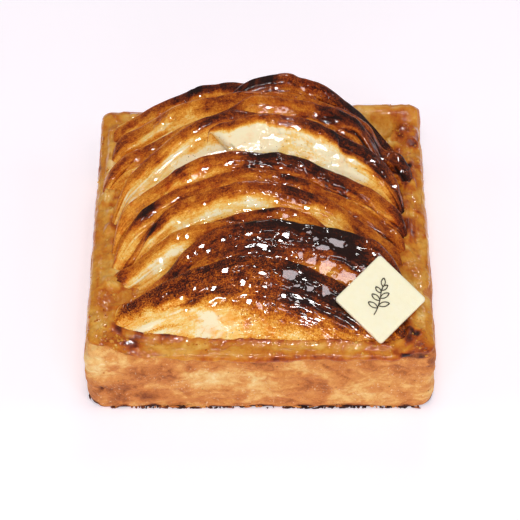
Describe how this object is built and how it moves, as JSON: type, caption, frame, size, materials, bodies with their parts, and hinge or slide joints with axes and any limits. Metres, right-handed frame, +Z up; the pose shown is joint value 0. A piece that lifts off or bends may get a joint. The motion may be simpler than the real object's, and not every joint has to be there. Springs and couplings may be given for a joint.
{
  "type": "apple tart",
  "caption": "Square puff pastry tart topped with a leaning fan of glazed baked apple slices and a small white chocolate plaque.",
  "frame": {"origin": "middle of the underside of the pastry", "axes": "+X to the right seen from the front, +Y from the front edge towards the back edge, +Z up"},
  "size_m": [0.097, 0.097, 0.0449],
  "materials": {
    "pastry": "baked puff pastry, glazed on the rim, flaky and matt on the sides",
    "apple_golden": "baked apple, golden, under a glossy glaze",
    "apple_browned": "baked apple, browned, under a glossy glaze",
    "apple_charred": "baked apple, dark brown to black at the edge, under a glossy glaze",
    "plaque": "smooth white chocolate"
  },
  "bodies": {
    "root": {"pastry": "pastry", "apple_slice_01": "apple_browned", "apple_slice_02": "apple_charred", "apple_slice_03": "apple_golden", "apple_slice_04": "apple_browned", "apple_slice_05": "apple_golden", "apple_slice_06": "apple_browned", "apple_slice_07": "apple_browned", "apple_slice_08": "apple_golden", "apple_slice_09": "apple_golden", "apple_slice_10": "apple_browned", "apple_slice_11": "apple_golden", "apple_slice_12": "apple_charred", "apple_slice_13": "apple_browned", "chocolate_plaque": "plaque"}
  },
  "joints": []
}
